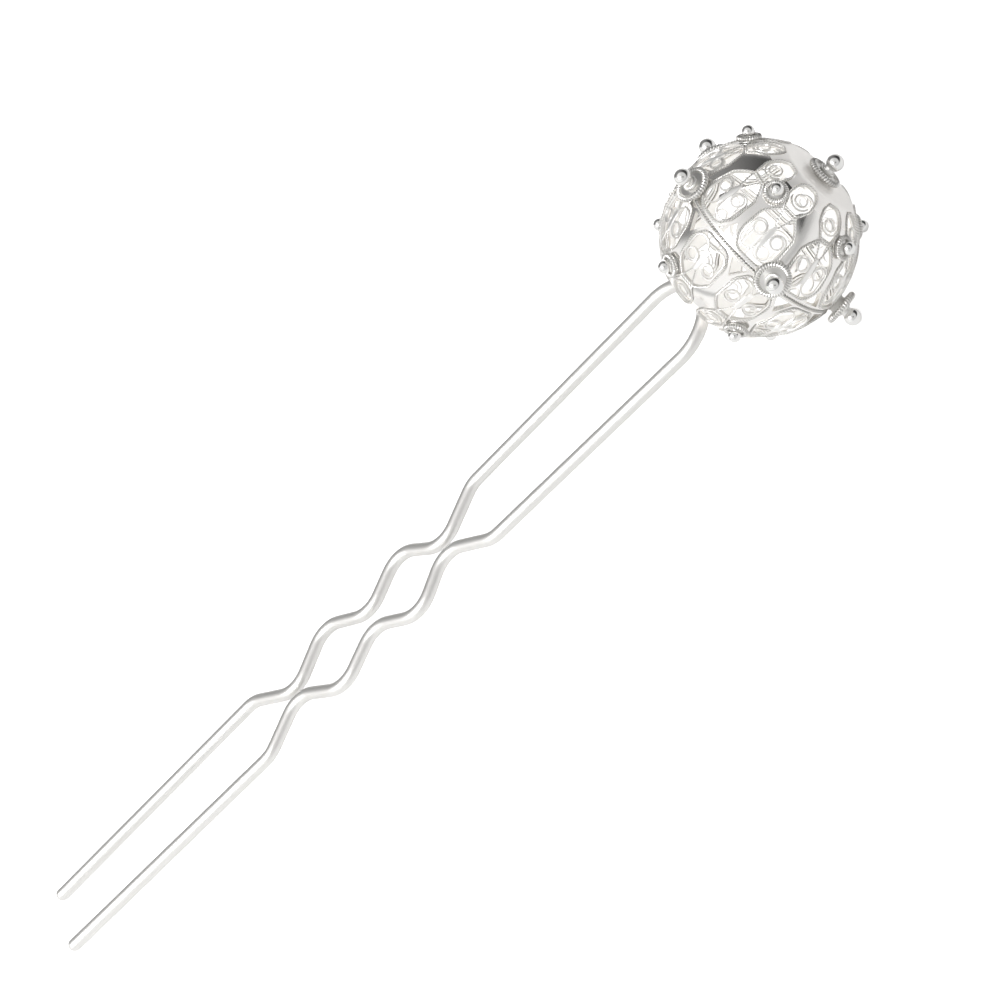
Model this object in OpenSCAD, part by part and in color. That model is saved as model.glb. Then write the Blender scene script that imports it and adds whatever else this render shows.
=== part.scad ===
// Two-pronged hairpin with a hollow filigree ball.
// The object is drawn lying on a flat surface, as it lies by itself: both prong tips and the
// two lowest rosette beads touch the surface. +X points from the tips to the ball.

/* [Ball] */
// Outer diameter of the two sheet domes
ball_d = 18; // [16:0.5:20]
// Thickness of the dome sheet
sheet_t = 0.45; // [0.35:0.05:0.6]
// Distance from the ball's centre to the flat at each pole
pole_flat = 8.05; // [7.8:0.05:8.3]
// Diameter of the round mouth where the pin enters
mouth_d = 6.1; // [6:0.05:6.4]
// Number of rosettes around the equator
rosette_count = 5; // [5:1:5]
// Turn of the lower dome against the upper one, in degrees
lower_turn = 18; // [0:1:36]

/* [Filigree] */
// Width of the outline wire of a cell
outline_w = 0.22; // [0.18:0.02:0.28]
// Width of the scroll wire
scroll_w = 0.2; // [0.16:0.02:0.26]
// Height of the filigree above the sheet
filigree_rise = 0.12; // [0.05:0.01:0.16]
// Centre line radius of the small curl beside the middle strip
curl_r = 0.6; // [0.5:0.02:0.66]
// Centre line radius of the wide loop below the curl
loop_r = 0.87; // [0.8:0.01:0.9]
// Half width of the middle strip between two curls
strip_half_w = 0.32; // [0.28:0.02:0.36]
// Gap between pieces that are set against each other
piece_gap = 0.04; // [0.02:0.01:0.06]

/* [Rosettes] */
// Radius of the large beads
bead_r = 0.82; // [0.7:0.02:0.9]
// Outer radius of the coiled ring under a large bead
coil_outer_r = 1.8; // [1.6:0.05:1.9]
// Thickness of the coiled ring
coil_d = 0.66; // [0.5:0.02:0.7]
// Height of the coiled ring above the sheet on the equator
equator_coil_h = 0.8; // [0.7:0.05:1]
// Height of the coiled ring above the flat at the crown
crown_coil_h = 0.58; // [0.5:0.02:0.8]
// Height of a large bead's centre above its coiled ring
bead_above_coil = 1.35; // [1.2:0.05:1.5]
// Latitude of the equator rosettes, in degrees above the seam
rosette_lat = 4.6; // [3:0.1:6]
// Radius of the small beads
stud_bead_r = 0.62; // [0.5:0.02:0.66]
// Outer radius of the ring around a small bead
stud_ring_r = 1.21; // [1:0.02:1.24]
// Height of a small bead's centre above the sheet
stud_bead_h = 0.88; // [0.8:0.02:1]
// Latitude of the small studs, in degrees
stud_lat = 40.3; // [39:0.1:42]

/* [Pin] */
// Diameter of the pin wire
wire_d = 1.3; // [1.1:0.05:1.4]
// Distance from the ball's centre to the rounded tips
tip_reach = 100.4; // [90:0.5:110]
// Half the spacing of the prongs at their tips
tip_half = 3.5; // [3:0.1:4]
// Centre line radius of the bend inside the ball's mouth
arch_r = 4.45; // [4.2:0.05:4.5]
// Distance from the ball's centre to the centre of that bend
arch_reach = 12.2; // [12:0.1:13]
// Centre line radius of the crimps
crimp_r = 2.8; // [2:0.1:3]

/* [Hidden] */

$fn = 64;
ball_r = ball_d / 2;
wire_r = wire_d / 2;
rosette_step = 360 / rosette_count;
petal_count = 2 * rosette_count;
petal_step = 360 / petal_count;

// Half of the seam between the domes, which the seam wire fills
seam_half = 0.18;
seam_wire_r = seam_half - piece_gap;
seam_wire_reach = ball_r - 0.1;
seat_gap = 0.08;

// Depth to which the foot of a rosette or stud is drawn before it is cut to the sheet
root_depth = 0.4;

// Latitudes of the axes along which the openings are cut
petal_axis_lat = 18;
lobe_axis_lat = 50;
triangle_axis_lat = 8;
cut_depth = 1.6;
cut_above = 0.6;
filigree_depth = 0.3;

// Side of the petal opening: latitude, half width in degrees of longitude
SIDE_LAT = 0;
SIDE_LON = 1;
PETAL_SIDE = [
    [2.2, 7],
    [3.6, 10.4],
    [6.5, 12.2],
    [8.5, 13.6],
    [10, 14.5],
    [14, 15.4],
    [28, 15.4],
    [33, 12.2],
    [39.3, 6]
];
// Side of the arched opening above it, in the same columns
LOBE_SIDE = [
    [37.7, 6],
    [42, 9],
    [44, 10.2],
    [46.5, 12.8],
    [50, 13.8],
    [55, 14.2],
    [58, 13],
    [60.5, 10.4],
    [62.2, 6.4]
];
// Side of the open triangle between two figures at the seam, in the same columns
TRIANGLE_SIDE = [
    [2.9, 6.2],
    [12.4, 0.5]
];
// Places of the scrolls of a figure
curl_lat = 20.5;
curl_lon = 6.6;
loop_lat = 12.4;
loop_lon = 6.5;
strip_low_lat = 11;
strip_high_lat = 27;
line_low_lon = 1.4;
line_high_lat = 38;
line_high_lon = 5.6;
lobe_ring_lat = 49.3;
lobe_ring_r = 0.6;
lobe_top_lat = 61.6;
cross_bar_lat = 38.5;
cross_bar_half_w = 0.2;
cross_bar_reach = 0.72;

// Corners of a prong's centre line: distance from the ball's centre, half spacing
PRONG = [
    [-(tip_reach - wire_r), tip_half],
    [-69.9, 3.85],
    [-64.7, 0.2],
    [-59.2, 4.5],
    [-53.7, 0.82],
    [-48.3, 4.63],
    [-43.25, 0.2],
    [-37.9, 4]
];
prong_end = PRONG[len(PRONG) - 1];
// The wire is a hair thicker where it is bent, and each straight reaches a little into its bends
bend_wire_r = wire_r + 0.01;
straight_overlap = 0.1;

// The last straight of a prong is tangent to the bend at its end
arch_offset = prong_end - [-arch_reach, 0];
arch_slope = asin(arch_r / norm(arch_offset)) - atan2(arch_offset.y, -arch_offset.x);
arch_start = [-arch_reach - arch_r * sin(arch_slope), arch_r * cos(arch_slope)];
PATH = concat(PRONG, [arch_start]);

// The object lies on a tip and a bead of equal rank on each side. The slope of the pin's plane
// follows from the two round surfaces that touch the floor.
rosette_reach = ball_r + equator_coil_h + bead_above_coil;
bead_x = rosette_reach * sin(rosette_lat);
bead_drop = rosette_reach * cos(rosette_lat) * cos(rosette_step / 2);
rest_run = bead_x + tip_reach - wire_r;
rest_span = norm([rest_run, bead_drop]);
rest_slope = atan2(bead_drop, rest_run) + asin((bead_r - wire_r) / rest_span);
crown_bead_x = pole_flat + crown_coil_h + bead_above_coil;
tip_centre_low = -(tip_reach - wire_r) * sin(rest_slope);
rest_lift = wire_r - tip_centre_low;
rest_min_x = -(tip_reach - wire_r) * cos(rest_slope) - wire_r;
rest_max_x = crown_bead_x * cos(rest_slope) + bead_r;
rest_shift = -(rest_min_x + rest_max_x) / 2;

// From the ball's own frame to the resting object's frame
module at_rest() {
    translate([rest_shift, 0, rest_lift])
        rotate([0, -rest_slope, 0])
            children();
}

// Puts a shape that stands along +Z at a longitude and latitude of the ball
module on_ball(lon, lat) {
    rotate([lon, 0, 0])
        rotate([0, lat, 0])
            children();
}

// Place of a point of the sphere, seen along the axis at latitude axis_lat
function seen(lat, lon, axis_lat) = ball_r * [
    sin(lat) * cos(axis_lat) - cos(lat) * cos(lon) * sin(axis_lat),
    cos(lat) * sin(lon)
];

// One side of an outline moved inwards by a distance along the sphere
function inset_side(side, distance) =
    let (
        low = side[0][SIDE_LAT],
        high = side[len(side) - 1][SIDE_LAT],
        turn = distance / ball_r * 180 / PI,
        shrink = (high - low - 2 * turn) / (high - low)
    )
    [for (row = side) [
        low + turn + (row[SIDE_LAT] - low) * shrink,
        max(row[SIDE_LON] - turn / cos(row[SIDE_LAT]), 0.5)
    ]];

// Both sides of an outline, as the points of a polygon
function outline_points(side, axis_lat, distance) =
    let (inner = inset_side(side, distance), last = len(inner) - 1)
    concat(
        [for (row = inner) seen(row[SIDE_LAT], row[SIDE_LON], axis_lat)],
        [for (i = [last:-1:0]) seen(inner[i][SIDE_LAT], -inner[i][SIDE_LON], axis_lat)]
    );

module opening_shape(side, axis_lat) {
    polygon(outline_points(side, axis_lat, 0));
}

module outline_wire(side, axis_lat) {
    difference() {
        polygon(outline_points(side, axis_lat, piece_gap));
        polygon(outline_points(side, axis_lat, piece_gap + outline_w));
    }
}

module wire_ring(place, radius, width) {
    translate(place)
        difference() {
            circle(radius + width / 2);
            circle(radius - width / 2);
        }
}

// Flat bar between two points
module bar(from, to, width) {
    run = to - from;
    translate(from)
        rotate(atan2(run.y, run.x))
            translate([0, -width / 2])
                square([norm(run), width]);
}

// A curl with the wide loop that starts below it, on one side of the middle strip
module scroll(side_sign) {
    curl = seen(curl_lat, side_sign * curl_lon, petal_axis_lat);
    difference() {
        wire_ring(seen(loop_lat, side_sign * loop_lon, petal_axis_lat), loop_r, scroll_w);
        translate(curl)
            circle(curl_r);
    }
    wire_ring(curl, curl_r, scroll_w);
    bar(
        seen(strip_high_lat, side_sign * line_low_lon, petal_axis_lat),
        seen(line_high_lat, side_sign * line_high_lon, petal_axis_lat),
        scroll_w
    );
}

module petal_pattern() {
    strip_low = seen(strip_low_lat, 0, petal_axis_lat);
    strip_high = seen(strip_high_lat, 0, petal_axis_lat);
    outline_wire(PETAL_SIDE, petal_axis_lat);
    bar(strip_low, strip_high, 2 * strip_half_w);
    scroll(1);
    scroll(-1);
}

module lobe_pattern() {
    top = seen(lobe_top_lat, 0, lobe_axis_lat);
    ring = seen(lobe_ring_lat, 0, lobe_axis_lat);
    outline_wire(LOBE_SIDE, lobe_axis_lat);
    wire_ring(ring, lobe_ring_r, scroll_w);
    bar(ring + [lobe_ring_r, 0], top, scroll_w);
}

// The band that joins the petal and the pointed cell above it
module cross_bar_pattern() {
    place = seen(cross_bar_lat, 0, petal_axis_lat);
    translate(place - [cross_bar_half_w, cross_bar_reach])
        square([2 * cross_bar_half_w, 2 * cross_bar_reach]);
}

module along_axis(axis_lat) {
    on_ball(0, axis_lat)
        translate([0, 0, ball_r - cut_depth])
            linear_extrude(cut_depth + cut_above)
                children();
}

// Both openings of a figure, cut through the sheet
module figure_opening() {
    along_axis(petal_axis_lat)
        opening_shape(PETAL_SIDE, petal_axis_lat);
    along_axis(lobe_axis_lat)
        opening_shape(LOBE_SIDE, lobe_axis_lat);
}

module triangle_opening() {
    along_axis(triangle_axis_lat)
        opening_shape(TRIANGLE_SIDE, triangle_axis_lat);
}

// Filigree of one figure, soldered into one piece
module figure_filigree() {
    intersection() {
        difference() {
            sphere(ball_r + filigree_rise);
            sphere(ball_r - filigree_depth);
        }
        union() {
            along_axis(petal_axis_lat)
                petal_pattern();
            along_axis(lobe_axis_lat)
                lobe_pattern();
            along_axis(petal_axis_lat)
                cross_bar_pattern();
        }
    }
}

// Section of a dome from the seam to its flat pole, with a round mouth in the flat
module dome_section(mouth_r) {
    intersection() {
        difference() {
            circle(ball_r);
            circle(ball_r - sheet_t);
            translate([0, pole_flat - sheet_t])
                square([mouth_r, sheet_t + 1]);
        }
        translate([0, seam_half])
            square([ball_r, pole_flat - seam_half]);
    }
    flat_r = sqrt(ball_r * ball_r - pole_flat * pole_flat);
    translate([mouth_r, pole_flat - sheet_t])
        square([flat_r - mouth_r, sheet_t]);
}

// A dome that opens towards the seam, with its pole on +X. Triangles are cut at every few of
// the places between two figures, from the first one given.
module dome(mouth_r, first_triangle, triangle_every) {
    difference() {
        rotate([0, 90, 0])
            rotate_extrude()
                dome_section(mouth_r);
        for (i = [0:petal_count - 1])
            rotate([petal_step / 2 + i * petal_step, 0, 0])
                figure_opening();
        for (i = [first_triangle:triangle_every:petal_count - 1])
            rotate([i * petal_step, 0, 0])
                triangle_opening();
    }
}

// Turns the lower half of the ball over, against the upper half
module lower_half() {
    rotate([lower_turn + petal_step, 0, 0])
        mirror([1, 0, 0])
            children();
}

// The upper dome has no triangles under the rosettes
module upper_dome() {
    color("gainsboro")
        at_rest()
            dome(bead_r, 1, 2);
}

// The lower dome has a shallow cup behind its mouth, which holds the bend of the pin
module lower_dome() {
    mouth_r = mouth_d / 2;
    cup_floor = arch_reach - arch_r - wire_r - piece_gap;
    color("gainsboro")
        at_rest()
            lower_half() {
                dome(mouth_r, 0, 1);
                translate([cup_floor - sheet_t, 0, 0])
                    rotate([0, 90, 0])
                        cylinder(h = sheet_t, r = mouth_r + sheet_t);
                translate([cup_floor - sheet_t / 2, 0, 0])
                    rotate([0, 90, 0])
                        difference() {
                            cylinder(h = pole_flat - cup_floor, r = mouth_r + sheet_t);
                            translate([0, 0, -sheet_t])
                                cylinder(h = pole_flat, r = mouth_r);
                        }
            }
}

module seam_wire() {
    color("silver")
        at_rest()
            rotate([0, 90, 0])
                rotate_extrude()
                    translate([seam_wire_reach, 0])
                        circle(seam_wire_r, $fn = 32);
}

module upper_petal(i) {
    color("whitesmoke")
        at_rest()
            rotate([petal_step / 2 + i * petal_step, 0, 0])
                figure_filigree();
}

module lower_petal(i) {
    color("whitesmoke")
        at_rest()
            lower_half()
                rotate([petal_step / 2 + i * petal_step, 0, 0])
                    figure_filigree();
}

// Section of a large rosette: foot, coiled ring, collar and bead
module rosette_section(coil_h) {
    coil_r = coil_d / 2;
    foot_r = 0.85;
    disc_t = 0.24;
    neck_r = 0.5;
    collar_r = 0.2;
    collar_centre = [0.58, coil_h + 0.3];
    bead_h = coil_h + bead_above_coil;
    translate([0, -root_depth])
        square([foot_r, coil_h + root_depth]);
    translate([0, coil_h - disc_t / 2])
        square([coil_outer_r - coil_r, disc_t]);
    translate([coil_outer_r - coil_r, coil_h])
        circle(coil_r);
    square([neck_r, bead_h]);
    translate(collar_centre)
        circle(collar_r);
    intersection() {
        translate([0, bead_h])
            circle(bead_r);
        translate([0, bead_h - bead_r])
            square([bead_r, 2 * bead_r]);
    }
}

module equator_rosette(i) {
    color("silver")
        at_rest()
            on_ball(i * rosette_step, rosette_lat)
                difference() {
                    translate([0, 0, ball_r])
                        rotate_extrude()
                            rosette_section(equator_coil_h);
                    sphere(ball_r + seat_gap);
                }
}

module crown_rosette() {
    color("silver")
        at_rest()
            rotate([0, 90, 0])
                difference() {
                    translate([0, 0, pole_flat])
                        rotate_extrude()
                            rosette_section(crown_coil_h);
                    translate([0, 0, pole_flat + piece_gap - 2 * root_depth])
                        cylinder(h = 2 * root_depth, r = coil_outer_r);
                }
}

// Section of a small stud: disc, ring and bead
module stud_section() {
    ring_thick_r = 0.26;
    ring_h = 0.39;
    translate([0, -root_depth])
        square([stud_ring_r - ring_thick_r, ring_h + root_depth]);
    translate([stud_ring_r - ring_thick_r, ring_h])
        circle(ring_thick_r);
    intersection() {
        translate([0, stud_bead_h])
            circle(stud_bead_r);
        translate([0, stud_bead_h - stud_bead_r])
            square([stud_bead_r, 2 * stud_bead_r]);
    }
}

module stud() {
    on_ball(rosette_step / 2, stud_lat)
        difference() {
            translate([0, 0, ball_r])
                rotate_extrude()
                    stud_section();
            sphere(ball_r + piece_gap);
        }
}

module upper_stud(i) {
    color("silver")
        at_rest()
            rotate([i * rosette_step, 0, 0])
                stud();
}

module lower_stud(i) {
    color("silver")
        at_rest()
            lower_half()
                rotate([i * rosette_step, 0, 0])
                    stud();
}

// Straight piece of wire between two points of the pin's plane
module straight_wire(from, to) {
    run = to - from;
    translate([from.x, from.y, 0])
        rotate([0, 0, atan2(run.y, run.x)])
            rotate([0, 90, 0])
                cylinder(h = norm(run), r = wire_r);
}

// Bent piece of wire about a centre, from one heading through a turn
module bent_wire(centre, start_angle, turn, radius) {
    translate([centre.x, centre.y, 0])
        rotate([0, 0, start_angle])
            rotate_extrude(angle = turn)
                translate([radius, 0])
                    circle(bend_wire_r);
}

function heading(from, to) = atan2(to.y - from.y, to.x - from.x);
function corner_turn(i) = heading(PATH[i], PATH[i + 1]) - heading(PATH[i - 1], PATH[i]);
function corner_cut(i) = (i == 0 || i == len(PATH) - 1) ? 0 : crimp_r * tan(abs(corner_turn(i)) / 2);
function along(angle) = [cos(angle), sin(angle)];

// One prong, from its rounded tip to the bend in the ball's mouth
module prong() {
    translate([PATH[0].x, PATH[0].y, 0])
        sphere(wire_r);
    for (i = [0:len(PATH) - 2]) {
        way = heading(PATH[i], PATH[i + 1]);
        from_cut = (i == 0) ? 0 : corner_cut(i) - straight_overlap;
        straight_wire(
            PATH[i] + from_cut * along(way),
            PATH[i + 1] - (corner_cut(i + 1) - straight_overlap) * along(way)
        );
    }
    for (i = [1:len(PATH) - 2]) {
        way_in = heading(PATH[i - 1], PATH[i]);
        turn = corner_turn(i);
        side = sign(turn);
        start = PATH[i] - corner_cut(i) * along(way_in);
        centre = start + crimp_r * along(way_in + side * 90);
        bent_wire(centre, min(way_in - side * 90, way_in - side * 90 + turn), abs(turn), crimp_r);
    }
}

module pin() {
    color("gainsboro")
        at_rest() {
            prong();
            mirror([0, 1, 0])
                prong();
            bent_wire([-arch_reach, 0], -90 - arch_slope, 180 + 2 * arch_slope, arch_r);
        }
}

pin();
lower_dome();
upper_dome();
seam_wire();
crown_rosette();
for (i = [1:5]) {
    equator_rosette(i - 1);
    upper_stud(i - 1);
    lower_stud(i - 1);
}
for (i = [1:10]) {
    upper_petal(i - 1);
    lower_petal(i - 1);
}
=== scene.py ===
"""Silver hairpin with a filigree ball: the looks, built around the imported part.

Shapes are worked out in the ball's own frame, in millimetres. Its origin is the ball's centre,
+X runs along the pin from the tips to the crown, and +Z is the meridian of the first equator
rosette. HairpinSizes.lay_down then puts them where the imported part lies, in metres.
"""

import logging
import math
from dataclasses import dataclass, field, replace
from enum import Enum
from functools import cache

import bpy
import numpy as np
from mathutils import Matrix
from numpy.typing import NDArray


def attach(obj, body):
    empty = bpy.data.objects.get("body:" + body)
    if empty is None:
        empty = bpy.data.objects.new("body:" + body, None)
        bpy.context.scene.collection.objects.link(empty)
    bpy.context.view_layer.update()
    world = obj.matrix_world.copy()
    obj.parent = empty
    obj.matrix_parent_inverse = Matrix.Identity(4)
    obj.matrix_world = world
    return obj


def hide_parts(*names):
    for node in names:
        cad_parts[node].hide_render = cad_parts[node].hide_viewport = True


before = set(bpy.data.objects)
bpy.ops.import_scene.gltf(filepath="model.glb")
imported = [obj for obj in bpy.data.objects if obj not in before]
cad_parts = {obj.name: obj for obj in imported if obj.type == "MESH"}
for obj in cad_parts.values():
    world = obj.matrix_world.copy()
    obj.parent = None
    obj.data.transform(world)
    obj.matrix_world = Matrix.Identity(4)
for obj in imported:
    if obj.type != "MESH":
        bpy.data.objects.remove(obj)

Array = NDArray[np.float64]
IntArray = NDArray[np.int64]
Mask = NDArray[np.bool_]
Pair = tuple[float, float]
Triple = tuple[float, float, float]
Tree = bpy.types.NodeTree
Socket = bpy.types.NodeSocket

log = logging.getLogger("hairpin")

MM = 0.001
BODY = "root"
GROOVE = "groove"
GRAIN = "grain"
UP = np.array([0.0, 0.0, 1.0])
SHARP_ANGLE = math.radians(42)
LOOKS_IN = -0.35
EDGE_GROOVE = 0.6
# Material numbers of a ball piece; the inside's and the satin's finishes carry painted glow.
OUTSIDE, INSIDE, SATIN = range(3)
BRIGHT_BEAD, COILED_WIRE = range(2)


class Slot(Enum):
    """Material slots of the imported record."""

    WIRE = "polished_wire"
    SHEET = "polished_sheet"
    FILIGREE = "filigree_wire"
    BEAD = "bead_and_coil"


# ---------------------------------------------------------------- sizes and place


@dataclass(frozen=True)
class HairpinSizes:
    """Sizes that several sub-assemblies share, in millimetres and degrees."""

    ball_r: float = 9.0
    sheet_t: float = 0.45
    pole_flat: float = 8.05
    seam_half: float = 0.18
    mouth_r: float = 3.05
    wire_r: float = 0.65
    tip_reach: float = 100.4
    rosette_count: int = 5
    rosette_lat: float = 4.6
    equator_coil_h: float = 0.8
    crown_coil_h: float = 0.58
    bead_above_coil: float = 1.35
    bead_r: float = 0.82
    lower_turn: float = 54.0

    @property
    def rosette_step(self) -> float:
        """Degrees from one equator rosette to the next."""
        return 360 / self.rosette_count

    @property
    def figure_count(self) -> int:
        """Filigree figures on each half of the ball."""
        return 2 * self.rosette_count

    @property
    def figure_step(self) -> float:
        """Degrees from one filigree figure to the next."""
        return 360 / self.figure_count

    @property
    def rest_slope(self) -> float:
        """Slope of the pin's plane when tips and the two lowest equator beads touch the floor.

        The line of centres rises by the drop from the pin's plane to the bead, and the two
        radii differ, which adds a small angle.

        Returns:
            The slope, in radians.
        """
        reach = self.ball_r + self.equator_coil_h + self.bead_above_coil
        lat = math.radians(self.rosette_lat)
        run = reach * math.sin(lat) + self.tip_reach - self.wire_r
        drop = reach * math.cos(lat) * math.cos(math.radians(self.rosette_step / 2))
        lean = math.asin((self.bead_r - self.wire_r) / math.hypot(run, drop))
        return math.atan2(drop, run) + lean

    @property
    def rest_lift(self) -> float:
        """Height of the ball's centre over the floor."""
        return self.wire_r + (self.tip_reach - self.wire_r) * math.sin(self.rest_slope)

    @property
    def rest_shift(self) -> float:
        """Distance from the middle of the part's box to the ball's centre, along X.

        Returns:
            The distance, in mm.
        """
        cosine = math.cos(self.rest_slope)
        low = -(self.tip_reach - self.wire_r) * cosine - self.wire_r
        crown = self.pole_flat + self.crown_coil_h + self.bead_above_coil
        return -(low + crown * cosine + self.bead_r) / 2

    def turn_down(self, vectors: Array) -> Array:
        """Turns vectors of the ball's frame by the slope about Y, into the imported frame."""
        return vectors @ turn_y(-math.degrees(self.rest_slope)).T

    def lay_down(self, points: Array) -> Array:
        """Points of the ball's frame in mm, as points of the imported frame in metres."""
        return (self.turn_down(points) + [self.rest_shift, 0.0, self.rest_lift]) * MM


SIZES = HairpinSizes()


class Half(Enum):
    """The half of the ball that a piece belongs to; the value mirrors it along X."""

    UPPER = 1
    LOWER = -1

    @property
    def side(self) -> str:
        """The word that the names of its pieces and nodes start with."""
        return self.name.lower()

    @property
    def mirror(self) -> Array:
        """Matrix from the upper half to this one."""
        return np.diag([float(self.value), 1.0, 1.0])

    @property
    def turn(self) -> float:
        """Degrees about X from the upper half's figures to this one's."""
        return SIZES.lower_turn if self is Half.LOWER else 0.0


# ---------------------------------------------------------------- paths


def turn_x(degrees: float) -> Array:
    """Matrix that turns about X, from +Z towards -Y."""
    c, s = math.cos(math.radians(degrees)), math.sin(math.radians(degrees))
    return np.array([[1.0, 0, 0], [0, c, -s], [0, s, c]])


def turn_y(degrees: float) -> Array:
    """Matrix that turns about Y, from +Z towards +X."""
    c, s = math.cos(math.radians(degrees)), math.sin(math.radians(degrees))
    return np.array([[c, 0.0, s], [0, 1, 0], [-s, 0, c]])


def unit(vectors: Array) -> Array:
    """Vectors of length one."""
    return vectors / np.maximum(np.linalg.norm(vectors, axis=-1, keepdims=True), 1e-12)


def arc(low: float, high: float, count: int, whole: bool = False) -> Array:
    """Points (cos a, sin a) between angles in degrees; a whole circle leaves out its last."""
    angle = np.radians(np.linspace(low, high, count, endpoint=not whole))
    return np.column_stack([np.cos(angle), np.sin(angle)])


def oval(half_width: float, half_height: float, sides: int, square: float = 1.0) -> Array:
    """Profile (a cos^square t, b sin^square t) with signs kept: 1 is round and 0.5 boxy."""
    ring = arc(180 / sides, 360 + 180 / sides, sides, whole=True)
    return np.sign(ring) * np.abs(ring) ** square * [half_width, half_height]


@dataclass(frozen=True)
class Path:
    """A line of points, flat or in space; a closed one runs on to its first point."""

    points: Array
    closed: bool = False

    @property
    def around(self) -> Array:
        """The points, with the first one again at the end of a closed path."""
        return np.vstack([self.points, self.points[:1]]) if self.closed else self.points

    @property
    def lengths(self) -> Array:
        """Length along the path at each of those points."""
        steps = np.linalg.norm(np.diff(self.around, axis=0), axis=1)
        return np.concatenate([[0.0], np.cumsum(steps)])

    @property
    def tangents(self) -> Array:
        """Directions, from the points on both sides of each point.

        Returns:
            One unit vector per point.
        """
        if self.closed:
            return unit(np.roll(self.points, -1, axis=0) - np.roll(self.points, 1, axis=0))
        return unit(np.gradient(self.points, axis=0))

    def times(self, factors: list[float]) -> "Path":
        """The path with each coordinate times a factor."""
        return replace(self, points=self.points * factors)

    def resampled(self, step: float) -> "Path":
        """The path in even steps, by straight interpolation along its length.

        Args:
            step: Length of a step, which is made a little shorter to fit.

        Returns:
            The new path.
        """
        lengths = self.lengths
        count = max(int(math.ceil(lengths[-1] / step)), 3)
        at = np.linspace(0, lengths[-1], count + 1)[: count if self.closed else None]
        points = np.column_stack([np.interp(at, lengths, axis) for axis in self.around.T])
        return replace(self, points=points)

    def softened(self, passes: int) -> "Path":
        """The path with rounded corners; open ends stay.

        Each pass moves a point to (before + 2 here + after) / 4.

        Args:
            passes: Number of passes.

        Returns:
            The new path.
        """
        here = self.points
        for _ in range(passes):
            eased = (np.roll(here, 1, axis=0) + 2 * here + np.roll(here, -1, axis=0)) / 4
            here = eased if self.closed else np.vstack([here[:1], eased[1:-1], here[-1:]])
        return replace(self, points=here)

    def axes(self, normals: Array) -> tuple[Array, Array]:
        """Sideways directions and normals that stand square on the path.

        A normal loses its part along the tangent. Sideways is the tangent cross the normal.

        Args:
            normals: The wanted normals, or one for all.

        Returns:
            Sideways directions and normals.
        """
        along = self.tangents
        normal = unit(normals - np.sum(normals * along, axis=1, keepdims=True) * along)
        return np.cross(along, normal), normal


# ---------------------------------------------------------------- surfaces


@dataclass
class Surface:
    """Points and faces of one or more closed surfaces.

    Attributes:
        points: One row per vertex, in mm.
        faces: Arrays of vertex numbers, one row per face, all of one array the same length.
        slots: Material number of each array of faces.
        groove: 0 on crests to 1 in hollows, per vertex.
        grain: Place along and around the metal's working direction, in mm, per vertex.
    """

    points: Array
    faces: list[IntArray]
    slots: list[int] = field(default_factory=list)
    groove: Array | None = None
    grain: Array | None = None

    def __post_init__(self) -> None:
        """Fills in the parts that were left out."""
        self.slots = self.slots or [OUTSIDE] * len(self.faces)
        if self.groove is None:
            self.groove = np.zeros(len(self.points))
        if self.grain is None:
            self.grain = self.points.copy()

    def moved(self, matrix: Array) -> "Surface":
        """The surface turned by a matrix; one that mirrors also turns the faces over."""
        faces = [f[:, ::-1] if np.linalg.det(matrix) < 0 else f for f in self.faces]
        return replace(self, points=self.points @ matrix.T, faces=faces)

    def raised(self, height: float) -> "Surface":
        """The surface shifted along Z."""
        return replace(self, points=self.points + height * UP)

    def in_slot(self, slot: int) -> "Surface":
        """The surface with all its faces in one material slot."""
        return replace(self, slots=[slot] * len(self.faces))

    def lined(self) -> "Surface":
        """The surface with the faces that look at the ball's centre in the inside's slot.

        A face looks there where its unit normal times the unit way from the centre to it is
        below LOOKS_IN. The normal is the cross product of two of its sides.

        Returns:
            The new surface.
        """
        faces, slots = [], []
        for group, own in zip(self.faces, self.slots):
            corners = self.points[group]
            out = np.cross(corners[:, 1] - corners[:, 0], corners[:, -1] - corners[:, 0])
            away = np.einsum("ij,ij->i", unit(out), unit(corners.mean(axis=1)))
            faces += [group[away >= LOOKS_IN], group[away < LOOKS_IN]]
            slots += [own, INSIDE]
        return replace(self, faces=faces, slots=slots)


def joined(parts: list[Surface]) -> Surface:
    """All parts as one surface, with their vertex numbers moved on.

    Args:
        parts: The surfaces.

    Returns:
        The new surface.
    """
    starts = np.cumsum([0] + [len(p.points) for p in parts])
    return Surface(
        np.concatenate([p.points for p in parts]),
        [f + start for p, start in zip(parts, starts) for f in p.faces],
        [s for p in parts for s in p.slots],
        np.concatenate([p.groove for p in parts]),
        np.concatenate([p.grain for p in parts]),
    )


def fan(tip: int, start: int, sides: int) -> IntArray:
    """Triangles from one vertex to each step of a ring whose numbers begin at start."""
    j = np.arange(sides)
    return np.column_stack([np.full(sides, tip), start + j, start + (j + 1) % sides])


def grid_faces(rows: int, columns: int, wrap_rows: bool) -> IntArray:
    """Four-cornered faces of a grid that is numbered row by row and closed sideways.

    Args:
        rows: Number of rows of points.
        columns: Points in a row.
        wrap_rows: True where the last row joins the first.

    Returns:
        One row per face.
    """
    i = np.repeat(np.arange(rows if wrap_rows else rows - 1), columns)
    j = np.tile(np.arange(columns), len(i) // columns)
    here, after, right = i * columns, (i + 1) % rows * columns, (j + 1) % columns
    return np.column_stack([here + j, after + j, after + right, here + right])


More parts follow.
